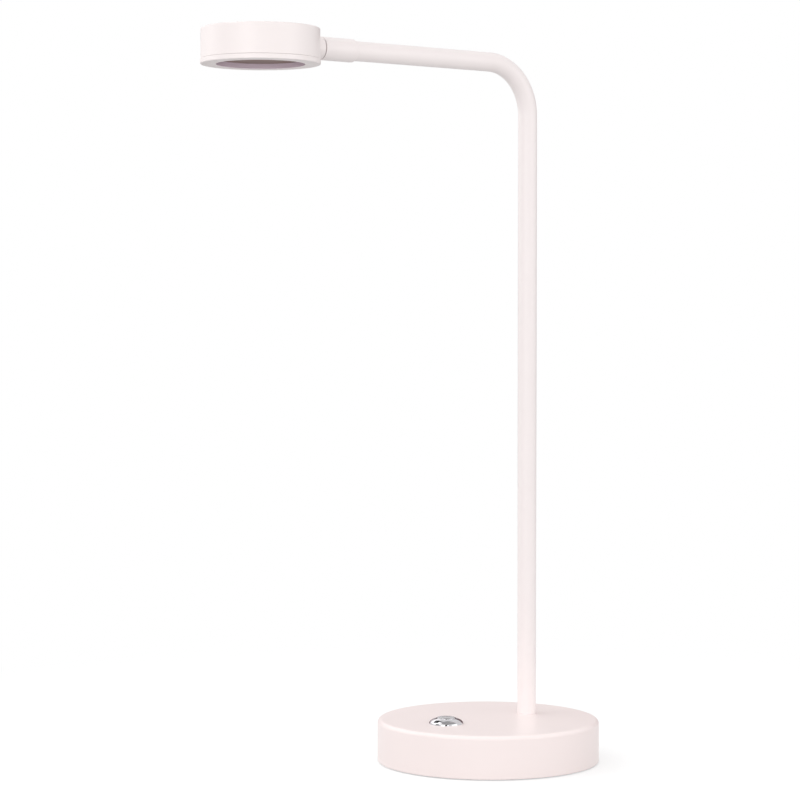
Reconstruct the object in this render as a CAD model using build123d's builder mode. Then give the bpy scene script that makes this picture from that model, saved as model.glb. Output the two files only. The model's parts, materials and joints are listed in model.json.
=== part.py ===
from build123d import *
import os
from math import asin, cos, degrees, pi, radians, sin, sqrt

# Table lamp: a round weighted base, one bent tube as stem and arm, and a drum head that turns on the arm.
# Millimetres. The origin lies on the table below the base's centre, +Z is up and the head points to -X.
# The XZ plane is the lamp's plane of symmetry.

# Clearances
bond_gap = 0.05
slip_gap = 0.2
running_gap = 0.05
wire_gap = 0.3

# Base shell and what closes it
base_diameter = 140.0
shell_height = 26.4
shell_wall = 2.0
shell_top = 2.5
shell_edge_radius = 2.6
cover_thickness = 2.0
pad_thickness = 0.6
pad_margin = 6.0
pad_edge = 0.2
ballast_height = 12.0
ballast_margin = 3.0
ballast_edge = 1.0
pocket_margin = 3.0
post_diameter = 8.0
post_margin = 20.0
cover_screw_diameter = 3.0
cover_screw_length = 9.0
cover_screw_head_diameter = 5.6
cover_screw_head_height = 1.5
screw_key = 2.0
screw_key_depth = 0.9

# Cord inlet at the back of the base
cord_bore = 5.2
grommet_wall = 1.9
grommet_lip = 1.4
grommet_flange = 1.8
grommet_round = 0.8
grommet_lift = 1.9
channel_margin = 2.0

# Stem, bend and arm, one tube
stem_offset = 32.0
arm_height = 441.0
bend_radius = 32.0
reach = 205.5
tube_diameter = 12.0
tube_wall = 1.0
insert_depth = 18.0
insert_wall = 1.3
thread_overhang = 2.0
stem_washer_diameter = 24.0
stem_washer_thickness = 1.5
stem_nut_flats = 15.0
stem_nut_height = 5.0

# Ferrule on the arm's end and the swivel inside it, placed by their distance from the head's axis
boss_length = 7.6
seam_gap = 0.6
seam_chamfer = 0.2
ferrule_length = 23.6
ferrule_wall = 0.95
ferrule_round = 0.8
ferrule_web = 4.0
socket_depth = 9.0
chamber_shoulder = 0.5
nut_clearance = 0.4
spindle_diameter = 6.0
spindle_flange = 1.5
spindle_overhang = 1.0
swivel_nut_height = 2.5
disc_spring_thickness = 0.4
disc_spring_rise = 0.5
swivel_limit = 160.0
stop_pin_diameter = 1.6
stop_pin_seat = 4.0
stop_pin_reach = 1.7
stop_groove_depth = 2.1
stop_rim = 0.6
stop_clearance = 0.1
stop_free_angle = 0.5

# Drum head
head_diameter = 70.0
head_wall = 2.0
head_top_thickness = 2.5
head_top_rise = 9.0
head_edge_radius = 0.8
nut_pad = 2.5
nut_pad_margin = 0.6
bezel_height = 3.0
bezel_proud = 0.3
bezel_groove = 0.15
bezel_edge = 0.6
spigot_wall = 1.6
bezel_face = 9.2
diffuser_thickness = 1.8
reflector_height = 2.8
reflector_wall = 1.2
led_board_thickness = 1.6
heat_plate_thickness = 1.6
core_clearance = 0.5
head_post_diameter = 6.0
head_post_inset = 6.5
head_post_count = 3
head_post_angle = 60.0
board_screw_diameter = 2.5
board_screw_head_diameter = 4.5
board_screw_head_height = 1.4
board_screw_grip = 5.0
chip_length = 3.5
chip_width = 2.8
chip_height = 0.7
chip_pitch = 7.8
chip_ring_inset = 5.0
chip_ring_step = 7.0

# Lamp lead and its ends
lead_diameter = 2.6
lead_bend_ratio = 3.0
lead_entry = 3.0
connector_length = 10.0
connector_width = 8.0
connector_setback = 2.5
connector_rise = 3.4

# Push button and switch
button_offset = 34.0
button_flange_diameter = 21.6
button_dome_height = 4.2
barrel_diameter = 18.0
barrel_length = 10.0
barrel_wall = 1.0
button_lip = 2.0
cap_diameter = 12.0
cap_gap = 0.15
cap_proud = 0.45
cap_round = 0.6
cap_collar = 1.2
press_travel = 1.2
button_nut_flats = 22.0
button_nut_height = 3.0
switch_diameter = 15.0
switch_neck = 3.0
switch_floor_gap = 4.0
plunger_diameter = 4.0
plunger_end_gap = 0.5
switch_lead_diameter = 2.0

# LED driver in the base
driver_length = 28.0
driver_thickness = 1.6
driver_standoff = 4.0
driver_post_diameter = 5.0
driver_pin_diameter = 2.6
driver_pin_rise = 1.0
driver_post_inset = 3.0
terminal_length = 8.0
terminal_width = 8.0
terminal_gap = 1.0
terminal_roof = 1.2
choke_diameter = 9.0
choke_height = 8.0
capacitor_diameter = 6.0
capacitor_height = 10.0
chip_side = 5.0
chip_rise = 1.6

# Heights and radii that follow in the base
base_radius = base_diameter / 2
shell_inner_radius = base_radius - shell_wall
base_top = pad_thickness + shell_height
base_ceiling = base_top - shell_top
cover_top = pad_thickness + cover_thickness
post_circle = shell_inner_radius - post_margin
post_pitch_x = post_circle
post_pitch_y = post_circle * sqrt(3)
cover_screw_radius = cover_screw_diameter / 2
button_x = -button_offset

# Places that follow along the tube and the swivel
tube_radius = tube_diameter / 2
tube_bore_radius = tube_radius - tube_wall
insert_radius = tube_bore_radius - bond_gap
head_x = stem_offset - reach
head_radius = head_diameter / 2
seam_distance = head_radius + boss_length
ferrule_start = seam_distance + seam_gap
ferrule_end = ferrule_start + ferrule_length
ferrule_radius = tube_radius + bond_gap + ferrule_wall
tube_end = ferrule_end - socket_depth
web_face = ferrule_start + ferrule_web
chamber_radius = tube_radius - chamber_shoulder
nut_corner_radius = chamber_radius - nut_clearance
swivel_nut_flats = 2 * nut_corner_radius * cos(radians(30))
spindle_radius = spindle_diameter / 2
spindle_bore_radius = lead_diameter / 2 + wire_gap + slip_gap / 2
stop_pin_radius = stop_pin_diameter / 2
pin_circle = ferrule_radius - stop_rim - stop_clearance - stop_pin_radius
groove_outer = pin_circle + stop_pin_radius + stop_clearance
groove_inner = pin_circle - stop_pin_radius - stop_clearance
groove_half_angle = swivel_limit + degrees(asin(stop_pin_radius / pin_circle)) + stop_free_angle
spindle_flange_radius = (spindle_radius + pin_circle - stop_pin_radius) / 2

# Heights and radii that follow in the head, from the arm's axis down to the bezel
head_inner_radius = head_radius - head_wall
head_top = arm_height + head_top_rise
head_ceiling = head_top - head_top_thickness
lead_radius = lead_diameter / 2
heat_plate_top = arm_height - lead_radius - running_gap * 2
led_board_top = heat_plate_top - heat_plate_thickness
led_board_bottom = led_board_top - led_board_thickness
diffuser_top = led_board_bottom - reflector_height
bezel_top = diffuser_top - diffuser_thickness
head_bottom = bezel_top - bezel_height
housing_bottom = bezel_top + bezel_groove
bezel_radius = head_radius + bezel_proud
opening_radius = bezel_radius - bezel_face
spigot_radius = head_inner_radius - bond_gap
diffuser_radius = spigot_radius - spigot_wall - slip_gap
nut_seat = head_inner_radius - nut_pad
nut_pad_radius = nut_corner_radius + nut_pad_margin
spigot_top = arm_height - nut_pad_radius - nut_pad_margin
spindle_start = nut_seat - swivel_nut_height - spindle_overhang
core_radius = spindle_start - core_clearance
head_post_radius = core_radius - head_post_inset
chip_outer_ring = head_post_radius - chip_ring_inset
chip_inner_ring = chip_outer_ring - chip_ring_step
connector_face = core_radius - connector_setback
board_screw_radius = board_screw_diameter / 2

# Heights that follow for the switch, the driver and the lead's lower end
barrel_radius = barrel_diameter / 2
barrel_bore_radius = barrel_radius - barrel_wall
barrel_bottom = base_top - barrel_length
cap_radius = cap_diameter / 2
button_radius = button_flange_diameter / 2
well_radius = cap_radius + cap_gap
button_rim = button_dome_height * sqrt(1 - (well_radius / button_radius) ** 2)
collar_top = base_top + button_rim - button_lip - running_gap
collar_bottom = collar_top - cap_collar
switch_bottom = cover_top + switch_floor_gap
switch_height = barrel_bottom - switch_bottom
plunger_bottom = barrel_bottom - switch_height / 2 + press_travel + plunger_end_gap
wire_height = switch_bottom + switch_height / 2
driver_x = (button_x + stem_offset) / 2
driver_width = 3 * terminal_width + 2 * terminal_gap + 4 * driver_post_inset
driver_bottom = cover_top + driver_standoff
driver_top = driver_bottom + driver_thickness
terminal_height = wire_height + lead_radius + wire_gap + terminal_roof - driver_top
insert_bottom = base_ceiling - stem_washer_thickness - stem_nut_height - thread_overhang
lead_bend_radius = lead_bend_ratio * lead_diameter

# Height of the cord inlet, and the inner face of the curved wall beside it
grommet_radius = cord_bore / 2 + grommet_wall
grommet_lip_radius = grommet_radius + grommet_lip
cord_height = cover_top + grommet_lip_radius + grommet_lift
wall_inner_face = sqrt(shell_inner_radius**2 - grommet_lip_radius**2) - bond_gap
grommet_start = wall_inner_face - grommet_flange

on_plane = (Align.CENTER, Align.CENTER, Align.MIN)


def level(height, x=0.0):
    """Horizontal plane at a height, centred on a point of the X axis."""
    return Plane(origin=(x, 0, height))


def across_arm(distance):
    """Plane across the arm, facing the stem, at a distance from the head's axis. Its own y points up."""
    return Plane(origin=(head_x + distance, 0, arm_height), x_dir=(0, 1, 0), z_dir=(1, 0, 0))


# Base shell: a cup with its mouth down, four screw posts, and holes for stem, button and cord
with BuildPart(level(pad_thickness)) as base_shell:
    Cylinder(base_radius, shell_height, align=on_plane)
    fillet(base_shell.edges().group_by(Axis.Z)[-1], shell_edge_radius)
    Cylinder(shell_inner_radius, shell_height - shell_top, align=on_plane, mode=Mode.SUBTRACT)
    with BuildSketch(level(cover_top)):
        with GridLocations(post_pitch_x, post_pitch_y, 2, 2):
            Circle(post_diameter / 2)
            Circle(cover_screw_radius + bond_gap, mode=Mode.SUBTRACT)
    extrude(amount=base_ceiling - cover_top)
    with BuildSketch(level(base_ceiling)):
        with Locations((stem_offset, 0)):
            Circle(insert_radius + slip_gap)
        with Locations((button_x, 0)):
            Circle(barrel_radius + slip_gap)
    extrude(amount=shell_top, mode=Mode.SUBTRACT)
    with BuildSketch(Plane(origin=(wall_inner_face, 0, cord_height), x_dir=(0, 1, 0), z_dir=(1, 0, 0))):
        Circle(grommet_radius + slip_gap)
    extrude(amount=base_radius, mode=Mode.SUBTRACT)

# Bottom cover: a plate in the shell's mouth, countersunk for its screws
with BuildPart(level(pad_thickness)) as bottom_cover:
    Cylinder(shell_inner_radius - slip_gap, cover_thickness, align=on_plane)
    with GridLocations(post_pitch_x, post_pitch_y, 2, 2):
        Cone(
            cover_screw_head_diameter / 2 + slip_gap,
            cover_screw_radius + slip_gap,
            cover_screw_head_height,
            align=on_plane,
            mode=Mode.SUBTRACT,
        )
        Cylinder(cover_screw_radius + slip_gap, cover_thickness, align=on_plane, mode=Mode.SUBTRACT)

# Cover screws: countersunk, with a hexagon socket, up into the shell's posts
with BuildPart(level(pad_thickness)) as cover_screws:
    with GridLocations(post_pitch_x, post_pitch_y, 2, 2):
        Cone(
            cover_screw_head_diameter / 2,
            cover_screw_radius,
            cover_screw_head_height,
            align=on_plane,
        )
        Cylinder(cover_screw_radius, cover_screw_length, align=on_plane)
    with BuildSketch(level(pad_thickness)):
        with GridLocations(post_pitch_x, post_pitch_y, 2, 2):
            RegularPolygon(screw_key / 2, 6, major_radius=False)
    extrude(amount=screw_key_depth, mode=Mode.SUBTRACT)

# Foot pad: the soft disc that the lamp rests on
with BuildPart(level(0)) as foot_pad:
    Cylinder(base_radius - pad_margin, pad_thickness, align=on_plane)
    chamfer(foot_pad.edges().group_by(Axis.Z)[0], pad_edge)

# Ballast: an iron disc on the cover, with pockets for switch and driver and a channel for their leads
with BuildPart() as ballast_weight:
    with BuildSketch(level(cover_top)):
        Circle(shell_inner_radius - ballast_margin)
        with Locations((button_x, 0)):
            Circle(switch_diameter / 2 + pocket_margin, mode=Mode.SUBTRACT)
            Rectangle(
                base_diameter,
                2 * (grommet_lip_radius + channel_margin),
                align=(Align.MIN, Align.CENTER),
                mode=Mode.SUBTRACT,
            )
        with Locations((driver_x, 0)):
            RectangleRounded(
                driver_length + 2 * pocket_margin,
                driver_width + 2 * pocket_margin,
                pocket_margin,
                mode=Mode.SUBTRACT,
            )
        with GridLocations(post_pitch_x, post_pitch_y, 2, 2):
            Circle(post_diameter / 2 + wire_gap, mode=Mode.SUBTRACT)
    extrude(amount=ballast_height)
    outer_rim = ballast_weight.edges().group_by(Axis.Z)[-1].filter_by(GeomType.CIRCLE)
    chamfer(outer_rim.sort_by(SortBy.RADIUS)[-1], ballast_edge)

# Cord grommet: a bush in the back wall, with a lip on either side of it
with BuildPart(Plane(origin=(grommet_start, 0, cord_height), x_dir=(0, 1, 0), z_dir=(1, 0, 0))) as cord_grommet:
    grommet_length = base_radius + grommet_flange - grommet_start
    Cylinder(grommet_lip_radius, grommet_flange, align=on_plane)
    Cylinder(grommet_radius, grommet_length, align=on_plane)
    with Locations((0, 0, grommet_length - grommet_flange)):
        Cylinder(grommet_lip_radius, grommet_flange, align=on_plane)
    fillet(cord_grommet.edges().group_by(Axis.X)[-1], grommet_round)
    Cylinder(cord_bore / 2, grommet_length, align=on_plane, mode=Mode.SUBTRACT)

# Tube: stem, bend and arm, standing on the base and ending in the ferrule's socket
with BuildPart() as arm_tube:
    with BuildLine() as tube_path:
        FilletPolyline(
            (stem_offset, 0, base_top),
            (stem_offset, 0, arm_height),
            (head_x + tube_end, 0, arm_height),
            radius=bend_radius,
        )
    with BuildSketch(level(base_top, stem_offset)):
        Circle(tube_radius)
        Circle(tube_bore_radius, mode=Mode.SUBTRACT)
    sweep(path=tube_path.line)

# Stem insert: hollow threaded foot, fixed in the tube and clamped through the shell's top
with BuildPart(level(insert_bottom, stem_offset)) as stem_insert:
    Cylinder(insert_radius, base_top + insert_depth - insert_bottom, align=on_plane)
    Cylinder(
        insert_radius - insert_wall,
        base_top + insert_depth - insert_bottom,
        align=on_plane,
        mode=Mode.SUBTRACT,
    )

with BuildPart(level(base_ceiling - stem_washer_thickness, stem_offset)) as stem_washer:
    Cylinder(stem_washer_diameter / 2, stem_washer_thickness, align=on_plane)
    Cylinder(insert_radius + slip_gap, stem_washer_thickness, align=on_plane, mode=Mode.SUBTRACT)

with BuildPart() as stem_nut:
    with BuildSketch(level(insert_bottom + thread_overhang, stem_offset)):
        RegularPolygon(stem_nut_flats / 2, 6, major_radius=False)
        Circle(insert_radius + bond_gap, mode=Mode.SUBTRACT)
    extrude(amount=stem_nut_height)

# Ferrule: sleeve on the arm's end, with a bearing web, a nut chamber and a socket for the tube.
# A groove in its front face takes the stop pin, and the lug that is left in the groove stops it.
with BuildPart(across_arm(ferrule_start)) as ferrule:
    Cylinder(ferrule_radius, ferrule_length, align=on_plane)
    fillet(ferrule.edges().group_by(Axis.X)[-1], ferrule_round)
    chamfer(ferrule.edges().group_by(Axis.X)[0], seam_chamfer)
    Cylinder(spindle_radius + running_gap, ferrule_web, align=on_plane, mode=Mode.SUBTRACT)
    with Locations((0, 0, ferrule_web)):
        Cylinder(chamber_radius, ferrule_length - ferrule_web, align=on_plane, mode=Mode.SUBTRACT)
    with Locations((0, 0, ferrule_length - socket_depth)):
        Cylinder(tube_radius + bond_gap, socket_depth, align=on_plane, mode=Mode.SUBTRACT)
    with BuildSketch(across_arm(ferrule_start)):
        lug_half_angle = radians(180 - groove_half_angle)
        lug_side = ferrule_radius * sin(lug_half_angle)
        lug_foot = ferrule_radius * cos(lug_half_angle)
        Circle(groove_outer)
        Circle(groove_inner, mode=Mode.SUBTRACT)
        with BuildLine():
            Polyline((0, 0), (-lug_side, -lug_foot), (lug_side, -lug_foot), close=True)
        make_face(mode=Mode.SUBTRACT)
    extrude(amount=stop_groove_depth, mode=Mode.SUBTRACT)

# Friction washer: thin ring in the seam, between the ferrule and the head's boss
with BuildPart(across_arm(seam_distance + running_gap)) as friction_washer:
    Cylinder(groove_inner - stop_clearance, seam_gap - running_gap, align=on_plane)
    Cylinder(spindle_radius + slip_gap, seam_gap - running_gap, align=on_plane, mode=Mode.SUBTRACT)

# Swivel spindle: hollow, with a flange that seats in the head's boss
with BuildPart(across_arm(spindle_start)) as swivel_spindle:
    spindle_end = web_face + disc_spring_rise + disc_spring_thickness + swivel_nut_height + spindle_overhang
    Cylinder(spindle_radius, spindle_end - spindle_start, align=on_plane)
    with Locations((0, 0, seam_distance - spindle_flange - spindle_start)):
        Cylinder(spindle_flange_radius, spindle_flange, align=on_plane)
    Cylinder(spindle_bore_radius, spindle_end - spindle_start, align=on_plane, mode=Mode.SUBTRACT)

# Spindle nut: holds the spindle in the head's wall
with BuildPart() as spindle_nut:
    with BuildSketch(across_arm(nut_seat - swivel_nut_height)):
        RegularPolygon(swivel_nut_flats / 2, 6, major_radius=False)
        Circle(spindle_radius + bond_gap, mode=Mode.SUBTRACT)
    extrude(amount=swivel_nut_height)

# Disc spring: shallow cone that presses the swivel together inside the ferrule
with BuildPart() as disc_spring:
    spring_start = web_face + running_gap
    spring_outer = swivel_nut_flats / 2
    spring_inner = spindle_radius + slip_gap
    with BuildSketch(Plane(origin=(head_x, 0, arm_height), x_dir=(1, 0, 0), z_dir=(0, -1, 0))):
        with BuildLine():
            Polyline(
                (spring_start, spring_outer),
                (spring_start + disc_spring_thickness, spring_outer),
                (spring_start + disc_spring_thickness + disc_spring_rise, spring_inner),
                (spring_start + disc_spring_rise, spring_inner),
                close=True,
            )
        make_face()
    revolve(axis=Axis((head_x, 0, arm_height), (1, 0, 0)))

# Swivel nut: tightens the disc spring on the spindle's end
with BuildPart() as swivel_nut:
    with BuildSketch(across_arm(spring_start + disc_spring_thickness + disc_spring_rise + running_gap)):
        RegularPolygon(swivel_nut_flats / 2, 6, major_radius=False)
        Circle(spindle_radius + bond_gap, mode=Mode.SUBTRACT)
    extrude(amount=swivel_nut_height)

# Stop pin: fixed in the boss, with its free end in the ferrule's groove
with BuildPart(across_arm(seam_distance - stop_pin_seat)) as stop_pin:
    with Locations((0, pin_circle, 0)):
        Cylinder(stop_pin_radius, stop_pin_seat + seam_gap + stop_pin_reach, align=on_plane)

# Head housing: a drum with its mouth down, a boss towards the arm, a nut seat and three posts inside
with BuildPart(level(housing_bottom, head_x)) as head_housing:
    Cylinder(head_radius, head_top - housing_bottom, align=on_plane)
    fillet(head_housing.edges().group_by(Axis.Z)[-1], head_edge_radius)
    with BuildSketch(across_arm(nut_seat)):
        Circle(ferrule_radius)
    extrude(amount=seam_distance - nut_seat)
    chamfer(head_housing.edges().group_by(Axis.X)[-1], seam_chamfer)
    Cylinder(head_inner_radius, head_ceiling - housing_bottom, align=on_plane, mode=Mode.SUBTRACT)
    with BuildSketch(across_arm(nut_seat)):
        Circle(nut_pad_radius)
    extrude(amount=nut_pad + head_wall / 2)
    with BuildSketch(level(heat_plate_top, head_x)):
        with PolarLocations(head_post_radius, head_post_count, head_post_angle):
            Circle(head_post_diameter / 2)
    extrude(amount=head_ceiling - heat_plate_top)
    with BuildSketch(level(heat_plate_top, head_x)):
        with PolarLocations(head_post_radius, head_post_count, head_post_angle):
            Circle(board_screw_radius + bond_gap)
    extrude(amount=board_screw_grip + bond_gap, mode=Mode.SUBTRACT)
    with BuildSketch(across_arm(nut_seat)):
        Circle(spindle_radius + bond_gap)
    extrude(amount=seam_distance - nut_seat, mode=Mode.SUBTRACT)
    with BuildSketch(across_arm(seam_distance - spindle_flange)):
        Circle(spindle_flange_radius + bond_gap)
    extrude(amount=spindle_flange, mode=Mode.SUBTRACT)
    with BuildSketch(across_arm(seam_distance - stop_pin_seat)):
        with Locations((0, pin_circle)):
            Circle(stop_pin_radius + bond_gap)
    extrude(amount=stop_pin_seat, mode=Mode.SUBTRACT)

# Head bezel: the ring at the drum's lower edge, with a spigot up into the drum
with BuildPart(level(head_bottom, head_x)) as head_bezel:
    Cylinder(bezel_radius, bezel_height, align=on_plane)
    fillet(head_bezel.edges().group_by(Axis.Z)[0], bezel_edge)
    with Locations((0, 0, bezel_height)):
        Cylinder(spigot_radius, spigot_top - bezel_top, align=on_plane)
        Cylinder(
            spigot_radius - spigot_wall,
            spigot_top - bezel_top,
            align=on_plane,
            mode=Mode.SUBTRACT,
        )
    Cylinder(opening_radius, bezel_height, align=on_plane, mode=Mode.SUBTRACT)

# Diffuser: the plate that lies on the bezel
with BuildPart(level(bezel_top, head_x)) as diffuser:
    Cylinder(diffuser_radius, diffuser_thickness, align=on_plane)

# Reflector: a short flared ring between the diffuser and the LED board
with BuildPart() as reflector:
    flare = diffuser_radius - slip_gap
    with BuildSketch(Plane(origin=(head_x, 0, diffuser_top), x_dir=(1, 0, 0), z_dir=(0, -1, 0))):
        with BuildLine():
            Polyline(
                (flare - reflector_wall, 0),
                (flare, 0),
                (core_radius, reflector_height),
                (core_radius - reflector_wall, reflector_height),
                close=True,
            )
        make_face()
    revolve(axis=Axis((head_x, 0, 0), (0, 0, 1)))

# LED board and the plate above it that carries its heat to the posts
with BuildPart(level(led_board_bottom, head_x)) as led_board:
    Cylinder(core_radius, led_board_thickness, align=on_plane)
    with PolarLocations(head_post_radius, head_post_count, head_post_angle):
        Cylinder(board_screw_radius + slip_gap, led_board_thickness, align=on_plane, mode=Mode.SUBTRACT)

with BuildPart(level(led_board_top, head_x)) as heat_plate:
    Cylinder(core_radius, heat_plate_thickness, align=on_plane)
    with PolarLocations(head_post_radius, head_post_count, head_post_angle):
        Cylinder(board_screw_radius + slip_gap, heat_plate_thickness, align=on_plane, mode=Mode.SUBTRACT)

# LED chips: two rings under the board
with BuildPart(level(led_board_bottom - chip_height, head_x)) as led_chips:
    for ring_radius in (chip_inner_ring, chip_outer_ring):
        ring_count = max(1, int(2 * pi * ring_radius / chip_pitch))
        with PolarLocations(ring_radius, ring_count):
            Box(chip_length, chip_width, chip_height, align=on_plane)

# Board screws: pan heads under the board, up through board and plate into the posts
with BuildPart(level(led_board_bottom - board_screw_head_height, head_x)) as board_screws:
    board_stack = led_board_thickness + heat_plate_thickness
    with PolarLocations(head_post_radius, head_post_count, head_post_angle):
        Cylinder(board_screw_head_diameter / 2, board_screw_head_height, align=on_plane)
        Cylinder(
            board_screw_radius,
            board_screw_head_height + board_stack + board_screw_grip,
            align=on_plane,
        )

# Lead connector: stands on the heat plate and takes the lead's end on the swivel's axis
with BuildPart() as lead_connector:
    with BuildSketch(level(heat_plate_top, head_x + connector_face)):
        Rectangle(connector_length, connector_width, align=(Align.MAX, Align.CENTER))
    extrude(amount=arm_height + connector_rise - heat_plate_top)
    with BuildSketch(across_arm(connector_face - lead_entry)):
        Circle(lead_radius + wire_gap)
    extrude(amount=lead_entry, mode=Mode.SUBTRACT)

# Terminal blocks: lamp lead and supply cord on the stem's side of the driver, switch on the other
terminal_edge = driver_length / 2
terminal_mid = terminal_edge - terminal_length / 2
cord_terminal_y = terminal_width + terminal_gap
with BuildPart(level(driver_top, driver_x)) as terminal_blocks:
    with Locations((terminal_mid, 0), (terminal_mid, cord_terminal_y), (-terminal_mid, 0)):
        Box(terminal_length, terminal_width, terminal_height, align=on_plane)
    entry_lift = wire_height - driver_top
    entries = ((terminal_edge, 0), (terminal_edge, cord_terminal_y), (-terminal_edge, 0))
    for entry_x, entry_y in entries:
        with Locations((entry_x, entry_y, entry_lift)):
            Cylinder(lead_radius + wire_gap, 2 * lead_entry, rotation=(0, 90, 0), mode=Mode.SUBTRACT)

# Lamp lead: from its terminal up the stem, round the bend and through the spindle to its connector
with BuildPart() as lead_wire:
    lead_start = driver_x + terminal_edge - lead_entry + running_gap
    lead_stop = head_x + connector_face - lead_entry + running_gap
    with BuildLine() as lead_path:
        FilletPolyline(
            (lead_start, 0, wire_height),
            (stem_offset, 0, wire_height),
            (stem_offset, 0, arm_height),
            (lead_stop, 0, arm_height),
            radius=(lead_bend_radius, bend_radius),
        )
    with BuildSketch(Plane(origin=(lead_start, 0, wire_height), x_dir=(0, 1, 0), z_dir=(1, 0, 0))):
        Circle(lead_radius)
    sweep(path=lead_path.line)

# Driver board on its four posts
driver_post_pitch = (driver_length - 2 * driver_post_inset, driver_width - 2 * driver_post_inset)
with BuildPart(level(driver_bottom, driver_x)) as driver_board:
    Box(driver_length, driver_width, driver_thickness, align=on_plane)
    with GridLocations(*driver_post_pitch, 2, 2):
        Cylinder(driver_pin_diameter / 2 + slip_gap, driver_thickness, align=on_plane, mode=Mode.SUBTRACT)

with BuildPart(level(cover_top, driver_x)) as board_posts:
    with GridLocations(*driver_post_pitch, 2, 2):
        Cylinder(driver_post_diameter / 2, driver_standoff, align=on_plane)
        Cylinder(
            driver_pin_diameter / 2,
            driver_standoff + driver_thickness + driver_pin_rise,
            align=on_plane,
        )

# Parts soldered to the driver board
part_row = driver_width / 4
with BuildPart(level(driver_top, driver_x)) as choke_coil:
    with Locations((0, -part_row)):
        Cylinder(choke_diameter / 2, choke_height, align=on_plane)

with BuildPart(level(driver_top, driver_x)) as filter_capacitor:
    with Locations((-capacitor_diameter / 2, part_row)):
        Cylinder(capacitor_diameter / 2, capacitor_height, align=on_plane)

with BuildPart(level(driver_top, driver_x)) as driver_chip:
    Box(chip_side, chip_side, chip_rise, align=on_plane)

# Button bezel: a low dome on the base, with a well for the cap, and a threaded barrel through the base
with BuildPart(level(base_top, button_x)) as button_bezel:
    with BuildSketch(Plane(origin=(button_x, 0, base_top), x_dir=(1, 0, 0), z_dir=(0, -1, 0))):
        Ellipse(button_radius, button_dome_height)
        Rectangle(
            button_radius,
            button_dome_height,
            align=(Align.MIN, Align.MIN),
            mode=Mode.INTERSECT,
        )
    revolve(axis=Axis((button_x, 0, base_top), (0, 0, 1)))
    with Locations((0, 0, -barrel_length)):
        Cylinder(barrel_radius, barrel_length, align=on_plane)
        Cylinder(
            barrel_bore_radius,
            barrel_length + button_rim - button_lip,
            align=on_plane,
            mode=Mode.SUBTRACT,
        )
    Cylinder(
        well_radius,
        2 * (button_dome_height + button_lip),
        mode=Mode.SUBTRACT,
    )

with BuildPart() as button_nut:
    with BuildSketch(level(base_ceiling - button_nut_height, button_x)):
        RegularPolygon(button_nut_flats / 2, 6, major_radius=False)
        Circle(barrel_radius + bond_gap, mode=Mode.SUBTRACT)
    extrude(amount=button_nut_height)

# Button cap: its collar is caught under the bezel's lip
with BuildPart(level(collar_bottom, button_x)) as button_cap:
    cap_height = base_top + button_rim + cap_proud - collar_bottom
    Cylinder(cap_radius, cap_height, align=on_plane)
    fillet(button_cap.edges().group_by(Axis.Z)[-1], cap_round)
    Cylinder(barrel_bore_radius - cap_gap, cap_collar, align=on_plane)

# Switch body: its neck is clipped into the barrel, its plunger hangs from the cap
with BuildPart(level(switch_bottom, button_x)) as switch_body:
    Cylinder(switch_diameter / 2, switch_height, align=on_plane)
    with Locations((0, 0, switch_height)):
        Cylinder(barrel_bore_radius - bond_gap, switch_neck, align=on_plane)
    with Locations((0, 0, switch_height / 2)):
        Cylinder(
            plunger_diameter / 2 + wire_gap,
            switch_height / 2 + switch_neck,
            align=on_plane,
            mode=Mode.SUBTRACT,
        )
    with Locations((switch_diameter / 2, 0, switch_height / 2)):
        Cylinder(
            switch_lead_diameter / 2 + wire_gap,
            2 * lead_entry,
            rotation=(0, 90, 0),
            mode=Mode.SUBTRACT,
        )

with BuildPart(level(plunger_bottom, button_x)) as switch_plunger:
    Cylinder(plunger_diameter / 2, collar_bottom - plunger_bottom, align=on_plane)

# Switch lead: a short straight lead from the switch to its terminal
with BuildPart() as switch_lead:
    switch_lead_start = button_x + switch_diameter / 2 - lead_entry + running_gap
    switch_lead_end = driver_x - terminal_edge + lead_entry - running_gap
    with BuildSketch(Plane(origin=(switch_lead_start, 0, wire_height), x_dir=(0, 1, 0), z_dir=(1, 0, 0))):
        Circle(switch_lead_diameter / 2)
    extrude(amount=switch_lead_end - switch_lead_start)

pieces = {
    "base_shell": base_shell,
    "bottom_cover": bottom_cover,
    "cover_screws": cover_screws,
    "foot_pad": foot_pad,
    "ballast_weight": ballast_weight,
    "cord_grommet": cord_grommet,
    "driver_board": driver_board,
    "board_posts": board_posts,
    "terminal_blocks": terminal_blocks,
    "choke_coil": choke_coil,
    "filter_capacitor": filter_capacitor,
    "driver_chip": driver_chip,
    "arm_tube": arm_tube,
    "stem_insert": stem_insert,
    "stem_washer": stem_washer,
    "stem_nut": stem_nut,
    "ferrule": ferrule,
    "friction_washer": friction_washer,
    "lead_wire": lead_wire,
    "button_bezel": button_bezel,
    "button_nut": button_nut,
    "switch_body": switch_body,
    "switch_lead": switch_lead,
    "button_cap": button_cap,
    "switch_plunger": switch_plunger,
    "head_housing": head_housing,
    "head_bezel": head_bezel,
    "diffuser": diffuser,
    "reflector": reflector,
    "led_board": led_board,
    "led_chips": led_chips,
    "heat_plate": heat_plate,
    "board_screws": board_screws,
    "lead_connector": lead_connector,
    "swivel_spindle": swivel_spindle,
    "spindle_nut": spindle_nut,
    "disc_spring": disc_spring,
    "swivel_nut": swivel_nut,
    "stop_pin": stop_pin,
}

os.makedirs("parts", exist_ok=True)
for name, piece in pieces.items():
    piece.part.label = name
    export_step(piece.part, f"parts/{name}.step")

print("lamp lead bend radii:", lead_bend_radius, bend_radius)
print("overall height:", head_top, "head height:", round(head_top - head_bottom, 2))
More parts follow.
